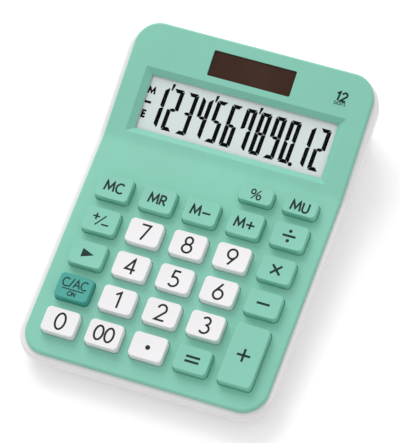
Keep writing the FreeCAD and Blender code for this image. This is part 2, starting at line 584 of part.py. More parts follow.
def ribbon(inside_drop):
    """A thin flat strip that runs from the rear glass's bare ledge down to the board."""
    t = D["ribbon_thickness"]
    ledge_drop = inside_drop - D["polariser_thickness"] - D["glass_thickness"]
    start = D["glass_at"] - D["glass_height"] / 2
    path = [DISPLAY.multVec(Vector(0, start + 1.8, -ledge_drop + t)),
            DISPLAY.multVec(Vector(0, start - 1.6, -ledge_drop + t)),
            KEYPAD.multVec(Vector(0, D["board_end"] + 3.0, -D["board_drop"] + 0.4)),
            KEYPAD.multVec(Vector(0, D["board_end"] + 1.0, -D["board_drop"] + t)),
            KEYPAD.multVec(Vector(0, D["board_end"] - 0.1, -D["board_drop"] + t))]
    lower = [Vector(p.x, p.y, p.z - t) for p in path]
    face = Part.Face(Part.makePolygon(path + lower[::-1] + path[:1]))
    strip = doc.addObject("Part::Feature", "ribbon_strip")
    strip.Shape = face.extrude(Vector(D["ribbon_width"], 0, 0))
    strip.Placement = Placement(Vector(-D["ribbon_width"] / 2, 0, 0), Rotation())
    keep(strip, "display_ribbon")


def solar_parts():
    window = rounded_box("solar_window", "solar_width - 2*solar_fit", "solar_height - 2*solar_fit",
                         "solar_window_thickness", 0.5, DISPLAY, 0, D["solar_at"],
                         -D["solar_sink"] - D["solar_window_thickness"])
    keep(window, "solar_window")
    cell = box("solar_cell", "solar_width - 4*solar_fit", "solar_height - 4*solar_fit", "solar_cell_thickness",
               DISPLAY, 0, D["solar_at"], -D["solar_drop"])
    keep(cell, "solar_cell")


# ---- power and small parts ----
def wire(node, points):
    """A round lead through the points."""
    curve = Part.BSplineCurve()
    curve.interpolate(points)
    path = Part.Wire(curve.toShape())
    direction = curve.tangent(curve.FirstParameter)[0]
    ring = Part.Wire(Part.makeCircle(D["wire_radius"], points[0], direction))
    made = doc.addObject("Part::Feature", node)
    made.Shape = path.makePipeShell([ring], True, True)
    return keep(made, node)


def power_parts():
    base = D["floor_height"]
    hatch = box("hatch_plate", "bay_width - 2*bay_wall - 2*hatch_gap", "bay_length - 2*bay_wall - 2*hatch_gap",
                "hatch_thickness", WORLD, 0, D["bay_at"], base)
    bore = cylinder("hatch_hole", "screw_radius + head_gap", "4", WORLD, D["hatch_screw_across"], D["bay_at"], 0)
    sink = cylinder("hatch_sink", "screw_head + head_gap", "screw_head_height + 0.1", WORLD,
                    D["hatch_screw_across"], D["bay_at"], base)
    grips = [box("hatch_grip_%d" % i, "0.6", "7", "0.4", WORLD, -9.0 + 1.4 * i, D["bay_at"], base - 0.01)
             for i in range(4)]
    keep(cut("battery_cover", hatch, fuse("hatch_holes", [bore, sink] + grips)), "battery_cover")
    cell = cylinder("cell_can", "cell_radius", "cell_height", WORLD, D["cell_across"], D["bay_at"], D["cell_base"])
    keep(fillet(cell, "battery_cell", 0.5, lambda edge: edge.Curve.TypeId == "Part::GeomCircle"), "battery_cell")
    leaf = box("battery_contact_side", "leaf_thickness", "leaf_width", "8", WORLD,
               D["cell_across"] - D["cell_radius"] - 0.05 - D["leaf_thickness"] / 2, D["bay_at"], D["cell_base"])
    keep(leaf, "battery_contact_side")
    spring = box("battery_contact_top", "leaf_width", "leaf_width", "leaf_thickness", WORLD, D["cell_across"],
                 D["bay_at"], D["cell_base"] + D["cell_height"] + 0.05)
    keep(spring, "battery_contact_top")

    under_board = -D["board_drop"] - D["board_thickness"] - D["wire_radius"] - 0.05
    radius = D["wire_radius"]
    side = Vector(D["cell_across"] - D["cell_radius"] - 0.5, D["bay_at"], D["cell_base"] + 8 + radius)
    top = Vector(D["cell_across"], D["bay_at"], D["cell_base"] + D["cell_height"] + 0.35 + radius)
    for node, start, x in (("battery_lead_red", side, -14.0), ("battery_lead_black", top, -4.0)):
        wire(node, [start, Vector((start.x + x) / 2, start.y - 8, 11.2), Vector(x, 25, 9.2),
                    KEYPAD.multVec(Vector(x, D["board_end"] - 6, under_board)),
                    KEYPAD.multVec(Vector(x, D["board_end"] - 12, under_board))])
    for node, x in (("solar_lead_red", -10.0), ("solar_lead_black", 10.0)):
        wire(node, [DISPLAY.multVec(Vector(x, D["solar_at"], -D["solar_drop"] - radius - 0.1)),
                    DISPLAY.multVec(Vector(x, D["solar_at"] - 2.0, -8.5)),
                    DISPLAY.multVec(Vector(x, D["bezel_at"], -9.6)),
                    DISPLAY.multVec(Vector(x, 0, -9.6)),
                    KEYPAD.multVec(Vector(x, D["board_end"] - 8, under_board - 0.6)),
                    KEYPAD.multVec(Vector(x, D["board_end"] - 13, under_board - 0.1))])


def small_parts():
    below = -D["board_drop"] - D["board_thickness"]
    resin = cone("resin_drop", "resin_radius - 1.2", "resin_radius", "resin_height", KEYPAD,
                 9.25, 58.0, below - D["resin_height"])
    keep(fillet(resin, "chip_resin", 0.6, lambda edge: edge.Length < 6.2 * D["resin_radius"] - 3), "chip_resin")
    keep(cylinder("capacitor", "capacitor_radius", "capacitor_height", KEYPAD, 26.0, 72.0,
                  below - D["capacitor_height"]), "capacitor")
    feet = [fillet(cylinder("foot_block_%d" % i, "foot_radius", "foot_thickness", WORLD, x, y, 0), "foot_%d" % i, 0.4,
                   lambda edge: edge.Curve.TypeId == "Part::GeomCircle" and edge.BoundBox.ZMax < 0.1)
            for i, (x, y) in enumerate(foot_places())]
    keep(group("rubber_feet", feet), "rubber_feet")
    label = rounded_box("rating_label", "label_width", "label_length", "label_thickness", 1.5, WORLD, 0, -12.0,
                        D["floor_height"] - D["label_thickness"])
    keep(label, "rating_label")


for node, x, y, length in key_places():
    key(node, x, y, length)
top_cover()
bottom_case()
screws()
circuit_board()
key_mat()
display_parts()
solar_parts()
power_parts()
small_parts()
doc.recompute()

for obj in doc.Objects:
    assert "Invalid" not in obj.State and "Error" not in obj.State, obj.Name
os.makedirs("parts", exist_ok=True)
for node, obj in finished:
    shape = obj.Shape
    assert not shape.isNull() and shape.isValid() and shape.Solids, node
    shape.exportStep("parts/%s.step" % node)
    size = shape.BoundBox
    print("%-26s solids %2d  volume %9.1f  x %7.2f %7.2f  y %7.2f %7.2f  z %6.2f %6.2f" % (
        node, len(shape.Solids), shape.Volume, size.XMin, size.XMax, size.YMin, size.YMax, size.ZMin, size.ZMax))
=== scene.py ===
"""Desk calculator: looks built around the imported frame. Lengths in the tables are millimetres."""

import json
import math

import bpy
from mathutils import Matrix, Vector


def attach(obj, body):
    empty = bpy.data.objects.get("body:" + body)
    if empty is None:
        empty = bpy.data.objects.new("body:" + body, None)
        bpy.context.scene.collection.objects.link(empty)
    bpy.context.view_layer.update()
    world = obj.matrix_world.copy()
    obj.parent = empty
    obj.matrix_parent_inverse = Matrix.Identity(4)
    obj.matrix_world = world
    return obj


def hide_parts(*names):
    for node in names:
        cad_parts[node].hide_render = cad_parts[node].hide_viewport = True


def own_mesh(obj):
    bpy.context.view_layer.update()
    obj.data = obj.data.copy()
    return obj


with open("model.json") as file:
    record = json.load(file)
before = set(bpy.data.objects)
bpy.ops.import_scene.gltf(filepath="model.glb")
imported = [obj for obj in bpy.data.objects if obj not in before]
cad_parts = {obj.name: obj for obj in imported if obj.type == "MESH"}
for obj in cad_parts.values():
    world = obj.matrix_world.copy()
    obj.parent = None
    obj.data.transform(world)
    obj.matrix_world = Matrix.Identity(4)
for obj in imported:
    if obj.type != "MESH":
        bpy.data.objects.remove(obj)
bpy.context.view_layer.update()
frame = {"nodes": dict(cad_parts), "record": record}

MM = 0.001
KEYPAD_SLOPE = math.radians(3.5)
DISPLAY_BEND = math.radians(11.4)
CREASE_AT = 95.5
DISPLAY_LENGTH = 50.5
CASE_HEIGHT = 29.5
COVER_FRONT = -71.1

FRONT_HEIGHT = (CASE_HEIGHT - CREASE_AT * math.sin(KEYPAD_SLOPE)
                - DISPLAY_LENGTH * math.sin(KEYPAD_SLOPE + DISPLAY_BEND))
KEYPAD = Matrix.Translation((0, COVER_FRONT, FRONT_HEIGHT)) @ Matrix.Rotation(KEYPAD_SLOPE, 4, "X")
DISPLAY = KEYPAD @ Matrix.Translation((0, CREASE_AT, 0)) @ Matrix.Rotation(DISPLAY_BEND, 4, "X")

# Keys
KEY_RISE = 3.55
KEY_DISH = 0.25
KEY_WIDTH = 14.0
PITCH_ACROSS = 18.5
PITCH_UP = 15.0
FIRST_ROW_AT = 13.5
KEY_LENGTH = 10.5
SMALL_KEY_LENGTH = 7.0
TALL_KEY_LENGTH = 25.5
INK_ABOVE = 0.02
INK_BELOW = 0.03

# Display
LIQUID_DROP = 3.0


# ---- colours ----
def linear(r, g, b):
    """A colour given as 8-bit screen values, made linear."""
    def one(c):
        c /= 255.0
        return c / 12.92 if c <= 0.04045 else ((c + 0.055) / 1.055) ** 2.4
    return (one(r), one(g), one(b), 1.0)


def shade(color, factor):
    return tuple(min(1.0, c * factor) for c in color[:3]) + (1.0,)


# ---- materials ----
class Nodes:
    """A small helper that adds nodes to one material and links them."""

    def __init__(self, name):
        self.material = bpy.data.materials.new(name)
        self.material.use_nodes = True
        self.tree = self.material.node_tree
        self.shader = next(n for n in self.tree.nodes if n.type == "BSDF_PRINCIPLED")

    def add(self, kind, **settings):
        node = self.tree.nodes.new(kind)
        for key, value in settings.items():
            if key in node.inputs:
                node.inputs[key].default_value = value
            else:
                setattr(node, key, value)
        return node

    def link(self, source, target):
        self.tree.links.new(source, target)

    def set(self, **values):
        for key, value in values.items():
            self.shader.inputs[key.replace("_", " ")].default_value = value

    def coordinates(self):
        return self.add("ShaderNodeTexCoord").outputs["Object"]

    def noise(self, scale, detail=4.0, roughness=0.5):
        node = self.add("ShaderNodeTexNoise", Scale=scale, Detail=detail, Roughness=roughness)
        self.link(self.coordinates(), node.inputs["Vector"])
        return node.outputs["Fac"]

    def ramp(self, source, low, high, low_at=0.3, high_at=0.7):
        node = self.add("ShaderNodeValToRGB")
        node.color_ramp.elements[0].position = low_at
        node.color_ramp.elements[0].color = low
        node.color_ramp.elements[1].position = high_at
        node.color_ramp.elements[1].color = high
        self.link(source, node.inputs["Fac"])
        return node.outputs["Color"]

    def range(self, source, low, high):
        node = self.add("ShaderNodeMapRange")
        node.inputs["To Min"].default_value = low
        node.inputs["To Max"].default_value = high
        self.link(source, node.inputs["Value"])
        return node.outputs["Result"]

    def bump(self, source, distance, strength=1.0):
        node = self.add("ShaderNodeBump", Strength=strength, Distance=distance)
        self.link(source, node.inputs["Height"])
        self.link(node.outputs["Normal"], self.shader.inputs["Normal"])

    def color(self, source):
        self.link(source, self.shader.inputs["Base Color"])

    def roughness(self, source):
        self.link(source, self.shader.inputs["Roughness"])


def plastic(name, color, rough=0.42, spread=0.05, tint=0.03, grain=2600.0,
            grain_depth=0.000012, specular=0.4):
    """Injection-moulded plastic: a fine spark grain, slight clouding of colour and gloss."""
    m = Nodes(name)
    m.color(m.ramp(m.noise(38.0, 3.0), shade(color, 1 - tint), shade(color, 1 + tint)))
    m.roughness(m.range(m.noise(160.0, 5.0), rough - spread, rough + spread))
    m.bump(m.noise(grain, 2.0, 0.6), grain_depth, 0.5)
    m.set(Specular_IOR_Level=specular)
    return m.material


def metal(name, color, rough=0.3, scale=700.0):
    """Plated metal with faint drawn lines."""
    m = Nodes(name)
    stretch = m.add("ShaderNodeMapping")
    stretch.inputs["Scale"].default_value = (1.0, 12.0, 1.0)
    m.link(m.coordinates(), stretch.inputs["Vector"])
    lines = m.add("ShaderNodeTexNoise", Scale=scale, Detail=3.0)
    m.link(stretch.outputs["Vector"], lines.inputs["Vector"])
    m.color(m.ramp(lines.outputs["Fac"], shade(color, 0.86), shade(color, 1.06)))
    m.roughness(m.range(lines.outputs["Fac"], rough - 0.08, rough + 0.1))
    m.set(Metallic=1.0)
    return m.material


def ink(name, color, rough=0.5, specular=0.25):
    """Pad-printed ink: even, with a slightly uneven gloss."""
    m = Nodes(name)
    m.color(m.ramp(m.noise(900.0, 3.0), shade(color, 0.9), shade(color, 1.15)))
    m.roughness(m.range(m.noise(1500.0, 3.0), rough - 0.08, rough + 0.08))
    m.set(Specular_IOR_Level=specular)
    return m.material


def clear(name, color, alpha, rough=0.06):
    m = Nodes(name)
    m.color(m.ramp(m.noise(60.0, 2.0), shade(color, 0.97), shade(color, 1.02)))
    m.roughness(m.range(m.noise(400.0, 4.0), rough * 0.7, rough * 1.5))
    m.set(Alpha=alpha, IOR=1.49)
    return m.material


GREEN = linear(130, 199, 178)
WHITE = linear(238, 236, 238)
TEAL = linear(66, 160, 148)

MATERIALS = {
    "green_cover": plastic("green_cover_plastic", GREEN, rough=0.48),
    "green_key": plastic("green_key_plastic", GREEN, rough=0.42),
    "white_key": plastic("white_key_plastic", WHITE, rough=0.38, tint=0.012),
    "teal_key": plastic("teal_key_plastic", TEAL, rough=0.42),
    "white_case": plastic("white_case_plastic", linear(234, 231, 232), rough=0.42, tint=0.01),
    "silicone": plastic("silicone_rubber", linear(205, 205, 200), rough=0.6),
    "steel": metal("plated_steel", linear(176, 176, 178)),
    "circuit_board": plastic("board_laminate", linear(150, 104, 52), rough=0.5, tint=0.1, grain=900.0),
    "carbon": plastic("printed_carbon", linear(28, 28, 28), rough=0.6),
    "clear_window": clear("window_acrylic", linear(40, 44, 44), 0.02),
    "display_glass": clear("cell_glass", linear(214, 226, 220), 0.35),
    "polariser": plastic("liquid_crystal_field", linear(224, 234, 234), rough=0.55, tint=0.012, specular=0.2),
    "reflector": plastic("reflector_film", linear(206, 212, 208), rough=0.3),
    "black_plastic": plastic("holder_plastic", linear(30, 30, 31), rough=0.5),
    "ribbon": plastic("ribbon_film", linear(150, 118, 66), rough=0.3, tint=0.1),
    "contact_brass": metal("contact_spring", linear(196, 170, 108), rough=0.28),
    "red_wire": plastic("red_insulation", linear(176, 28, 24), rough=0.35),
    "black_wire": plastic("black_insulation", linear(26, 26, 27), rough=0.35),
    "resin": plastic("potting_resin", linear(24, 24, 25), rough=0.25),
    "aluminium_can": metal("capacitor_can", linear(200, 200, 204), rough=0.35),
    "rubber": plastic("foot_rubber", linear(34, 34, 35), rough=0.75, tint=0.08, grain=1400.0,
                      grain_depth=0.00003),
    "label": plastic("blank_label_film", linear(208, 208, 206), rough=0.4, tint=0.015),
}


def solar_window_material():
    """Dark brown tinted plastic that lets a little of the cell show."""
    m = Nodes("solar_window_plastic")
    m.color(m.ramp(m.noise(50.0, 3.0), linear(62, 40, 30), linear(72, 48, 37)))
    m.roughness(m.range(m.noise(500.0, 4.0), 0.22, 0.32))
    m.set(Alpha=0.8, Specular_IOR_Level=0.12)
    return m.material


def solar_cell_material():
    """Four amorphous silicon cells side by side, with thin paler gaps."""
    m = Nodes("solar_cell_film")
    split = m.add("ShaderNodeSeparateXYZ")
    m.link(m.coordinates(), split.inputs["Vector"])
    wave = m.add("ShaderNodeMath", operation="PINGPONG")
    m.link(split.outputs["X"], wave.inputs[0])
    wave.inputs[1].default_value = 4.35 * MM
    gap = m.add("ShaderNodeMapRange")
    gap.inputs["From Min"].default_value = 0.25 * MM
    gap.inputs["From Max"].default_value = 0.45 * MM
    m.link(wave.outputs["Value"], gap.inputs["Value"])
    m.color(m.ramp(gap.outputs["Result"], linear(58, 40, 34), linear(96, 52, 42), 0.4, 0.6))
    m.roughness(m.range(m.noise(300.0, 4.0), 0.25, 0.4))
    return m.material


MATERIALS["solar_window"] = solar_window_material()
MATERIALS["solar_cell"] = solar_cell_material()
DARK_INK = ink("legend_ink_dark", linear(22, 21, 23))
GREEN_INK = ink("legend_ink_green", linear(6, 42, 38))
TEAL_INK = ink("legend_ink_teal", linear(8, 52, 50))
SEGMENT_INK = ink("liquid_crystal_segment", linear(5, 7, 8), rough=0.6, specular=0.03)

slots = {part["node"]: part["material_slot"] for part in frame["record"]["subparts"]}
for node, obj in frame["nodes"].items():
    obj.data.materials.clear()
    obj.data.materials.append(MATERIALS[slots[node]])


# ---- mesh helpers ----
def add_mesh(name, vertices, faces, material, body):
    """A closed mesh in metres from millimetre points in the row frame."""
    mesh = bpy.data.meshes.new(name)
    mesh.from_pydata([tuple(c * MM for c in v) for v in vertices], [], faces)
    mesh.validate()
    mesh.update()
    mesh.materials.append(material)
    obj = bpy.data.objects.new(name, mesh)
    bpy.context.scene.collection.objects.link(obj)
    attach(obj, body)
    return obj


class Slab:
    """Gathers thin printed shapes as one closed mesh on a surface given by a height function."""

    def __init__(self, place, height, above=INK_ABOVE, below=INK_BELOW):
        self.place, self.height, self.above, self.below = place, height, above, below
        self.vertices, self.faces = [], []

    def _pair(self, x, y):
        z = self.height(x, y)
        top = self.place @ Vector((x, y, z + self.above))
        bottom = self.place @ Vector((x, y, z - self.below))
        self.vertices += [top, bottom]
        return len(self.vertices) - 2

    def strip(self, left, right, closed=False):
        """A ribbon between two rows of points."""
        a = [self._pair(*p) for p in left]
        b = [self._pair(*p) for p in right]
        n = len(a)
        for i in range(n if closed else n - 1):
            j = (i + 1) % n
            self.faces += [(b[i], b[j], a[j], a[i]), (a[i] + 1, a[j] + 1, b[j] + 1, b[i] + 1),
                           (a[i], a[j], a[j] + 1, a[i] + 1), (b[j], b[i], b[i] + 1, b[j] + 1)]
        if not closed:
            self.faces += [(a[0], a[0] + 1, b[0] + 1, b[0]), (b[-1], b[-1] + 1, a[-1] + 1, a[-1])]

    def polygon(self, points):
        """A filled convex outline, counter-clockwise."""
        ring = [self._pair(*p) for p in points]
        self.faces.append(tuple(ring))
        self.faces.append(tuple(i + 1 for i in reversed(ring)))
        for i, here in enumerate(ring):
            after = ring[(i + 1) % len(ring)]
            self.faces.append((after, here, here + 1, after + 1))

    def stroke(self, points, width, closed=False, step=0.5):
        """A line of even width through the points, with mitred corners."""
        path = densify([Vector(p) for p in points], step, closed)
        left, right = [], []
        n = len(path)
        for i, p in enumerate(path):
            before = path[i - 1] if (i or closed) else None
            after = path[(i + 1) % n] if (i < n - 1 or closed) else None
            d1 = (p - before).normalized() if before is not None else None
            d2 = (after - p).normalized() if after is not None else None
            d1, d2 = d1 or d2, d2 or d1
            tangent = (d1 + d2).normalized() if (d1 + d2).length > 1e-6 else d1
            normal = Vector((-tangent.y, tangent.x))
            reach = width / 2 / max(0.45, normal.dot(Vector((-d1.y, d1.x))))
            left.append(tuple(p + normal * reach))
            right.append(tuple(p - normal * reach))
        self.strip(left, right, closed)

    def finish(self, name, material, body):
        return add_mesh(name, self.vertices, self.faces, material, body)


def densify(path, step, closed):
    """Adds points along long runs, so that the line can follow a curved surface."""
    out = []
    count = len(path) if closed else len(path) - 1
    for i in range(count):
        a, b = path[i], path[(i + 1) % len(path)]
        parts = max(1, math.ceil((b - a).length / step))
        out += [a.lerp(b, k / parts) for k in range(parts)]
    if not closed:
        out.append(path[-1])
    return out


def arc(cx, cy, rx, ry, start, end, parts=20):
    """Points on an ellipse from one angle to another, in degrees."""
    return [(cx + rx * math.cos(math.radians(start + (end - start) * i / parts)),
             cy + ry * math.sin(math.radians(start + (end - start) * i / parts))) for i in range(parts + 1)]


def ellipse(cx, cy, rx, ry, parts=36):
    return arc(cx, cy, rx, ry, 0, 360 * (parts - 1) / parts, parts - 1)


# ---- glyphs: width, open strokes, closed strokes; the capital height is 1 ----
GLYPHS = {
    "0": (0.62, [], [ellipse(0.31, 0.5, 0.29, 0.5)]),
    "1": (0.46, [[(0.04, 0.80), (0.32, 0.985), (0.32, 0.0)]], []),
    "2": (0.60, [arc(0.29, 0.71, 0.26, 0.28, 172, -28) + [(0.03, 0.02), (0.60, 0.02)]], []),
    "3": (0.58, [arc(0.27, 0.755, 0.23, 0.235, 152, -88), arc(0.27, 0.265, 0.28, 0.265, 90, -148)], []),
    "4": (0.64, [[(0.46, 0.0), (0.46, 0.97), (0.03, 0.29), (0.64, 0.29)]], []),
    "5": (0.56, [[(0.52, 0.98), (0.15, 0.98), (0.10, 0.57)] + arc(0.25, 0.30, 0.29, 0.30, 118, -146)], []),
    "6": (0.60, [[(0.42, 1.0), (0.085, 0.46)]], [ellipse(0.31, 0.30, 0.28, 0.30)]),
    "7": (0.58, [[(0.02, 0.98), (0.56, 0.98), (0.20, 0.0)]], []),
    "8": (0.60, [], [ellipse(0.30, 0.755, 0.215, 0.235), ellipse(0.30, 0.265, 0.28, 0.265)]),
    "9": (0.60, [[(0.18, 0.0), (0.515, 0.54)]], [ellipse(0.29, 0.70, 0.28, 0.30)]),
    "M": (1.0, [[(0.03, 0.0), (0.15, 1.0), (0.50, 0.22), (0.85, 1.0), (0.97, 0.0)]], []),
    "C": (0.78, [arc(0.46, 0.5, 0.42, 0.5, 46, 314)], []),
    "R": (0.62, [[(0.06, 0.0), (0.06, 0.98), (0.30, 0.98)]
                 + arc(0.30, 0.73, 0.25, 0.25, 88, -88) + [(0.06, 0.48)],
                 [(0.30, 0.48), (0.60, 0.0)]], []),
    "U": (0.70, [[(0.05, 1.0), (0.05, 0.38)] + arc(0.35, 0.32, 0.30, 0.32, 172, 368) + [(0.65, 1.0)]], []),
    "A": (0.74, [[(0.0, 0.0), (0.37, 0.99), (0.74, 0.0)], [(0.13, 0.34), (0.61, 0.34)]], []),
    "N": (0.70, [[(0.06, 0.0), (0.06, 0.98), (0.64, 0.02), (0.64, 1.0)]], []),
    "O": (0.86, [], [ellipse(0.43, 0.5, 0.40, 0.5)]),
    "D": (0.70, [], [[(0.06, 0.0), (0.06, 1.0), (0.25, 1.0)]
                     + arc(0.25, 0.5, 0.40, 0.5, 84, -84) + [(0.25, 0.0)]]),
    "I": (0.14, [[(0.07, 0.0), (0.07, 1.0)]], []),
    "G": (0.80, [arc(0.44, 0.5, 0.40, 0.5, 46, 345) + [(0.83, 0.48), (0.52, 0.48)]], []),
    "T": (0.60, [[(0.0, 0.98), (0.60, 0.98)], [(0.30, 0.98), (0.30, 0.0)]], []),
    "S": (0.54, [arc(0.27, 0.75, 0.23, 0.25, 40, 250, 14) + arc(0.27, 0.26, 0.25, 0.26, 70, -140, 14)], []),
    "E": (0.50, [[(0.50, 0.98), (0.06, 0.98), (0.06, 0.02), (0.50, 0.02)], [(0.06, 0.5), (0.45, 0.5)]], []),
    "/": (0.40, [[(0.0, -0.06), (0.40, 1.06)]], []),
    "-": (0.92, [[(0.04, 0.42), (0.88, 0.42)]], []),
    "+": (0.92, [[(0.04, 0.46), (0.88, 0.46)], [(0.46, 0.04), (0.46, 0.88)]], []),
}


def word(slab, text, cx, cy, size, width, gap=0.16, slant=0.0, stretch=1.0):
    """Writes a word centred on a point."""
    total = sum(GLYPHS[c][0] for c in text) + gap * (len(text) - 1)
    x = -total / 2
    for c in text:
        advance, opened, closed = GLYPHS[c]
        for strokes, loop in ((opened, False), (closed, True)):
            for points in strokes:
                slab.stroke([(cx + ((x + px) * stretch + slant * (py - 0.5)) * size, cy + (py - 0.5) * size)
                             for px, py in points], width, loop)
        x += advance + gap


def disc(slab, cx, cy, radius):
    slab.polygon([(cx + radius * math.cos(i * math.pi / 12), cy + radius * math.sin(i * math.pi / 12))
                  for i in range(24)])


# ---- key legends ----
def key_place(column, along):
    return KEYPAD @ Matrix.Translation((column * PITCH_ACROSS, along, 0))


def dished(length):
    """The height of a key's dished top over the cover."""
    radius = (KEY_WIDTH ** 2 + length ** 2) / (8 * KEY_DISH)
    return lambda x, y: KEY_RISE - KEY_DISH + radius - math.sqrt(radius ** 2 - x * x - y * y)


DIGIT_SIZE = 6.75
DIGIT_STROKE = 0.86
WORD_SIZE = 4.1
WORD_STROKE = 0.81
SIGN_STROKE = 0.98


def draw_digits(text, size=DIGIT_SIZE):
    def draw(slab):
        word(slab, text, 0, 0, size, DIGIT_STROKE, gap=0.12)
    return draw


def draw_word(text, gap=0.14):
    def draw(slab):
        word(slab, text, 0, 0, WORD_SIZE, WORD_STROKE, gap=gap)
    return draw


def draw_clear(slab):
    word(slab, "C/AC", 0, 1.45, 3.5, 0.55, gap=0.10)
    slab.stroke([(-4.6, -1.25), (4.6, -1.25)], 0.45)
    word(slab, "ON", 0, -3.0, 1.9, 0.42, gap=0.16)


def draw_point(slab):
    disc(slab, 0, -0.3, 1.0)


def draw_equals(slab):
    slab.stroke([(-2.9, 1.0), (2.9, 1.0)], SIGN_STROKE)
    slab.stroke([(-2.9, -1.0), (2.9, -1.0)], SIGN_STROKE)


def draw_plus(slab):
    slab.stroke([(-2.75, 0), (2.75, 0)], SIGN_STROKE)
    slab.stroke([(0, -2.75), (0, 2.75)], SIGN_STROKE)


def draw_minus(slab):
    slab.stroke([(-2.7, 0), (2.7, 0)], SIGN_STROKE)


def draw_multiply(slab):
    slab.stroke([(-1.95, -1.95), (1.95, 1.95)], SIGN_STROKE)
    slab.stroke([(-1.95, 1.95), (1.95, -1.95)], SIGN_STROKE)


def draw_divide(slab):
    slab.stroke([(-2.7, 0), (2.7, 0)], SIGN_STROKE)
    disc(slab, 0, 2.1, 0.72)
    disc(slab, 0, -2.1, 0.72)


def draw_backspace(slab):
    slab.polygon([(-2.4, -1.9), (2.7, 0.0), (-2.4, 1.9)])


def draw_sign(slab):
    slab.stroke([(-3.7, 1.3), (-0.9, 1.3)], 0.7)
    slab.stroke([(-2.3, -0.1), (-2.3, 2.7)], 0.7)
    slab.stroke([(-1.9, -2.4), (1.6, 2.3)], 0.58)
    slab.stroke([(0.6, -1.6), (3.7, -1.6)], 0.7)


def draw_percent(slab):
    slab.stroke(ellipse(-1.3, 1.0, 0.8, 1.0), 0.62, True)
    slab.stroke(ellipse(1.3, -1.0, 0.8, 1.0), 0.62, True)
    slab.stroke([(-1.5, -2.05), (1.5, 2.05)], 0.5)


STANDARD_LEGENDS = [
    ("key_0", -2, 0, draw_digits("0"), DARK_INK),
    ("key_00", -1, 0, draw_digits("00", 0.88 * DIGIT_SIZE), DARK_INK),
    ("key_point", 0, 0, draw_point, DARK_INK), ("key_equals", 1, 0, draw_equals, GREEN_INK),
    ("key_clear_on", -2, 1, draw_clear, TEAL_INK), ("key_1", -1, 1, draw_digits("1"), DARK_INK),
    ("key_2", 0, 1, draw_digits("2"), DARK_INK), ("key_3", 1, 1, draw_digits("3"), DARK_INK),
    ("key_backspace", -2, 2, draw_backspace, GREEN_INK), ("key_4", -1, 2, draw_digits("4"), DARK_INK),
    ("key_5", 0, 2, draw_digits("5"), DARK_INK), ("key_6", 1, 2, draw_digits("6"), DARK_INK),
    ("key_minus", 2, 2, draw_minus, GREEN_INK),
    ("key_sign", -2, 3, draw_sign, GREEN_INK), ("key_7", -1, 3, draw_digits("7"), DARK_INK),
    ("key_8", 0, 3, draw_digits("8"), DARK_INK), ("key_9", 1, 3, draw_digits("9"), DARK_INK),
    ("key_multiply", 2, 3, draw_multiply, GREEN_INK),
    ("key_memory_clear", -2, 4, draw_word("MC"), GREEN_INK),
    ("key_memory_recall", -1, 4, draw_word("MR"), GREEN_INK),
    ("key_memory_minus", 0, 4, draw_word("M-"), GREEN_INK),
    ("key_memory_plus", 1, 4, draw_word("M+"), GREEN_INK),
    ("key_divide", 2, 4, draw_divide, GREEN_INK),
]
LEGENDS = [(node, column, FIRST_ROW_AT + PITCH_UP * row, KEY_LENGTH, draw, paint)
           for node, column, row, draw, paint in STANDARD_LEGENDS]
LEGENDS += [("key_percent", 1, 86.6, SMALL_KEY_LENGTH, draw_percent, GREEN_INK),
            ("key_mark_up", 2, 86.6, SMALL_KEY_LENGTH, draw_word("MU"), GREEN_INK),
            ("key_plus", 2, 21.0, TALL_KEY_LENGTH, draw_plus, GREEN_INK)]

for node, column, along, length, draw, paint in LEGENDS:
    slab = Slab(key_place(column, along), dished(length))
    draw(slab)
    slab.finish(node.replace("key_", "legend_"), paint, node)


# ---- segment display ----
DIGIT_PITCH = 6.26
DIGIT_RIGHT = 37.6
DIGIT_FOOT = 8.5
DIGIT_TOP = 26.15
DIGIT_WIDTH = 4.6
SEGMENT_WIDTH = 1.7
SEGMENT_BAR = 1.55
SEGMENT_GAP = 0.08
DIGIT_SLANT = 0.035
SEGMENTS = {"0": "abcdef", "1": "bc", "2": "abged", "3": "abgcd", "4": "fgbc", "5": "afgcd", "6": "afgedc",
            "7": "fabc", "8": "abcdefg", "9": "abcdfg"}


def segment_outlines(width, height, thick, bar, gap):
    """Each segment's outline in a digit whose lower left corner is the origin."""
    middle = height / 2
    tip = 0.12 * thick + gap
    inner = 0.8 * thick + gap
    post_end = 0.45 * thick
    half_bar = 0.42 * bar

    def mirrored(points):
        return [(width - x, y) for x, y in points]

    def flipped(points):
        return [(x, height - y) for x, y in points]

    top = [(tip, height), (inner, height - bar), (width - inner, height - bar), (width - tip, height)]
    across = [(thick / 2 + gap, middle), (thick + gap, middle - half_bar),
              (width - thick - gap, middle - half_bar),
              (width - thick / 2 - gap, middle), (width - thick - gap, middle + half_bar),
              (thick + gap, middle + half_bar)]
    post = [(0, middle + gap), (thick / 2, middle + gap), (thick, middle + half_bar + gap),
            (thick, height - bar - 2 * gap), (0.16 * thick, height - 0.55 * post_end), (0, height - post_end)]
    return {"a": top, "d": flipped(top), "g": across, "f": post, "b": mirrored(post), "e": flipped(post),
            "c": mirrored(flipped(post))}


def liquid(x, y):
    return -LIQUID_DROP


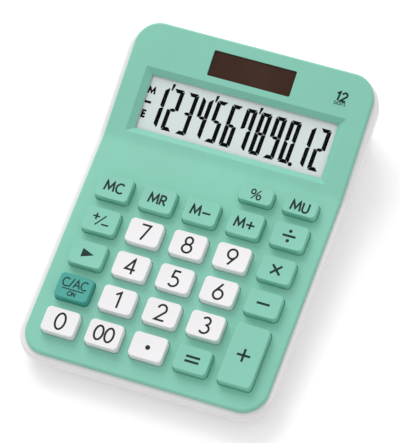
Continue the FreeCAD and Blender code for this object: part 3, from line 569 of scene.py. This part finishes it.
def display_digits():
    slab = Slab(DISPLAY, liquid, above=0.04, below=0.0)
    height = DIGIT_TOP - DIGIT_FOOT
    outlines = segment_outlines(DIGIT_WIDTH, height, SEGMENT_WIDTH, SEGMENT_BAR, SEGMENT_GAP)

    def lean(x, y, cell):
        return cell + x + DIGIT_SLANT * (y - height / 2), DIGIT_FOOT + y

    number = "123456789012"
    for i, digit in enumerate(number):
        cell = DIGIT_RIGHT - DIGIT_WIDTH - DIGIT_PITCH * (len(number) - 1 - i)
        for segment in SEGMENTS[digit]:
            slab.polygon([lean(x, y, cell) for x, y in counter_clockwise(outlines[segment])])
        if i in (0, 3, 6):
            mark = DIGIT_WIDTH + (DIGIT_PITCH - DIGIT_WIDTH) / 2
            tick = [(mark - 0.25, height - 1.2), (mark + 0.3, height - 1.2), (mark + 0.95, height + 1.65),
                    (mark - 0.3, height + 1.65)]
            slab.polygon([lean(x, y, cell) for x, y in tick])
        if i == 9:
            x, y = lean(DIGIT_WIDTH + (DIGIT_PITCH - DIGIT_WIDTH) / 2, 0.2, cell)
            disc(slab, x, y, 0.85)
    slab.finish("display_digits", SEGMENT_INK, "case")


def counter_clockwise(points):
    area = sum(a[0] * b[1] - b[0] * a[1] for a, b in zip(points, points[1:] + points[:1]))
    return points if area > 0 else points[::-1]


def display_indicators():
    slab = Slab(DISPLAY, liquid, above=0.04, below=0.0)
    word(slab, "M", -38.1, 22.9, 2.7, 0.7, stretch=1.08)
    slab.stroke([(-39.6, 18.0), (-36.9, 18.0)], 1.0)
    word(slab, "E", -38.4, 13.0, 2.7, 0.85, stretch=1.15)
    slab.finish("display_indicators", SEGMENT_INK, "case")


display_digits()
display_indicators()

panel = Slab(DISPLAY, lambda x, y: 0.0)
word(panel, "12", 38.0, 39.8, 3.6, 0.82, gap=0.14, slant=0.12, stretch=1.06)
word(panel, "DIGITS", 38.1, 36.9, 1.25, 0.24, gap=0.2, stretch=0.95)
panel.finish("panel_digit_count", GREEN_INK, "case")


# ---- key mat: a sheet and one dome per key ----
BOARD_DROP = 5.4
DOME_OUTER = [(4.2, 0.0), (4.05, 0.55), (3.2, 1.2), (2.85, 1.7), (2.7, 2.05), (2.5, 2.2), (1.2, 2.2), (0.0, 2.2)]
DOME_INNER = [(3.45, 0.0), (3.3, 0.45), (2.7, 0.95), (2.35, 1.35), (2.2, 1.75), (0.0, 1.75)]


def dome(name, place):
    """A hollow rubber dome, turned about its axis."""
    around = 32
    profile = DOME_OUTER + DOME_INNER[::-1]
    vertices, faces, rings = [], [], []
    for r, z in profile:
        if r == 0.0:
            vertices.append(place @ Vector((0, 0, z)))
            rings.append([len(vertices) - 1] * around)
            continue
        start = len(vertices)
        for i in range(around):
            angle = 2 * math.pi * i / around
            vertices.append(place @ Vector((r * math.cos(angle), r * math.sin(angle), z)))
        rings.append(list(range(start, start + around)))
    rings.append(rings[0])
    for low, high in zip(rings, rings[1:]):
        for i in range(around):
            j = (i + 1) % around
            face = []
            for corner in (low[i], low[j], high[j], high[i]):
                if corner not in face:
                    face.append(corner)
            if len(face) > 2:
                faces.append(tuple(face))
    obj = add_mesh(name, vertices, faces, MATERIALS["silicone"], "case")
    for polygon in obj.data.polygons:
        polygon.use_smooth = True
    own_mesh(obj)
    return obj


DOME_WINDOW = 4.25
BOSS_WINDOW = 1.9
BOSSES = [(-1.5, 0.5), (1.465, 0.5), (-0.5, 1.5), (0.5, 1.5), (-1.5, 2.5), (1.5, 2.5), (-0.5, 3.5), (0.5, 3.5)]


def mat_sheet():
    """The flat sheet between the domes, with a square opening round each dome's foot and round each boss."""
    low, high = 7.7, 90.7
    half = 42.0
    thick = 0.55
    place = KEYPAD @ Matrix.Translation((0, 0, -BOARD_DROP))
    xs, ys = {-half, half}, {low, high}
    windows = []
    for node, column, along, *_ in LEGENDS:
        across = column * PITCH_ACROSS
        windows.append((across - DOME_WINDOW, across + DOME_WINDOW, along - DOME_WINDOW, along + DOME_WINDOW))
    for i, j in BOSSES:
        x, y = i * PITCH_ACROSS, FIRST_ROW_AT + j * PITCH_UP
        windows.append((x - BOSS_WINDOW, x + BOSS_WINDOW, y - BOSS_WINDOW, y + BOSS_WINDOW))
    for x0, x1, y0, y1 in windows:
        xs |= {x0, x1}
        ys |= {max(low, y0), min(high, y1)}
    xs, ys = sorted(xs), sorted(ys)

    def solid(i, j):
        if not (0 <= i < len(xs) - 1 and 0 <= j < len(ys) - 1):
            return False
        x, y = (xs[i] + xs[i + 1]) / 2, (ys[j] + ys[j + 1]) / 2
        return not any(x0 < x < x1 and y0 < y < y1 for x0, x1, y0, y1 in windows)

    index, vertices, faces = {}, [], []

    def corner(i, j, k):
        if (i, j, k) not in index:
            index[i, j, k] = len(vertices)
            vertices.append(place @ Vector((xs[i], ys[j], thick * k)))
        return index[i, j, k]

    for i in range(len(xs) - 1):
        for j in range(len(ys) - 1):
            if not solid(i, j):
                continue
            faces.append((corner(i, j, 1), corner(i + 1, j, 1), corner(i + 1, j + 1, 1), corner(i, j + 1, 1)))
            faces.append((corner(i, j, 0), corner(i, j + 1, 0), corner(i + 1, j + 1, 0), corner(i + 1, j, 0)))
            for di, dj, a, b in ((-1, 0, (i, j + 1), (i, j)), (1, 0, (i + 1, j), (i + 1, j + 1)),
                                 (0, -1, (i, j), (i + 1, j)), (0, 1, (i + 1, j + 1), (i, j + 1))):
                if not solid(i + di, j + dj):
                    faces.append((corner(*a, 0), corner(*b, 0), corner(*b, 1), corner(*a, 1)))
    return add_mesh("mat_sheet", vertices, faces, MATERIALS["silicone"], "case")


mat_pieces = [mat_sheet()]
for node, column, along, *_ in LEGENDS:
    place = KEYPAD @ Matrix.Translation((column * PITCH_ACROSS, along, -BOARD_DROP))
    mat_pieces.append(dome(node.replace("key_", "dome_"), place))
for piece in mat_pieces:
    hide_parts("key_mat")


# ---- stage ----
bpy.context.scene.view_settings.view_transform = "Standard"


FLOOR_GLOW = 0.12


def floor_material():
    """White paper lit from below, so that shadows on it stay faint."""
    m = Nodes("floor_paper")
    m.color(m.ramp(m.noise(6.0, 3.0), (0.93, 0.93, 0.93, 1), (0.95, 0.95, 0.95, 1)))
    m.roughness(m.range(m.noise(80.0, 4.0), 0.75, 0.9))
    m.set(Emission_Color=(1.0, 1.0, 1.0, 1.0), Emission_Strength=FLOOR_GLOW)
    return m.material


floor_mesh = bpy.data.meshes.new("floor")
floor_mesh.from_pydata([(-3, -3, 0), (3, -3, 0), (3, 3, 0), (-3, 3, 0)], [], [(0, 1, 2, 3)])
floor_mesh.materials.append(floor_material())
floor = bpy.data.objects.new("floor", floor_mesh)
bpy.context.scene.collection.objects.link(floor)


def area_light(name, position, target, size, power):
    data = bpy.data.lights.new(name, "AREA")
    data.shape = "RECTANGLE"
    data.size, data.size_y = size
    data.energy = power
    obj = bpy.data.objects.new(name, data)
    obj.location = position
    obj.rotation_euler = (Vector(target) - Vector(position)).to_track_quat("-Z", "Y").to_euler()
    bpy.context.scene.collection.objects.link(obj)
    return obj


area_light("key_light", position=(-0.8, 1.1, 1.05), target=(0, 0, 0.01), size=(1.1, 1.1), power=15.5)
area_light("top_light", position=(0.0, 0.1, 1.6), target=(0, 0, 0), size=(1.6, 1.6), power=2.0)

world = bpy.data.worlds.new("studio")
world.use_nodes = True
background = next(n for n in world.node_tree.nodes if n.type == "BACKGROUND")
background.inputs["Color"].default_value = (1.0, 1.0, 1.0, 1.0)
background.inputs["Strength"].default_value = 0.71
bpy.context.scene.world = world

# ---- camera ----
TARGET = Vector((0.12, -0.66, 15.0)) * MM
AZIMUTH = math.radians(33.83)
ELEVATION = math.radians(61.495)
ROLL = math.radians(-14.84)
DISTANCE = 1.37935
camera_data = bpy.data.cameras.new("camera")
camera_data.sensor_width = 36.0
camera_data.lens = 284.6
camera_data.clip_start = 0.05
camera_data.clip_end = 20.0
camera = bpy.data.objects.new("camera", camera_data)
away = Vector((math.sin(AZIMUTH) * math.cos(ELEVATION),
               -math.cos(AZIMUTH) * math.cos(ELEVATION),
               math.sin(ELEVATION)))
look = (-away).to_track_quat("-Z", "Y").to_matrix().to_4x4()
camera.matrix_world = Matrix.Translation(TARGET + away * DISTANCE) @ look @ Matrix.Rotation(ROLL, 4, "Z")
bpy.context.scene.collection.objects.link(camera)
bpy.context.scene.camera = camera
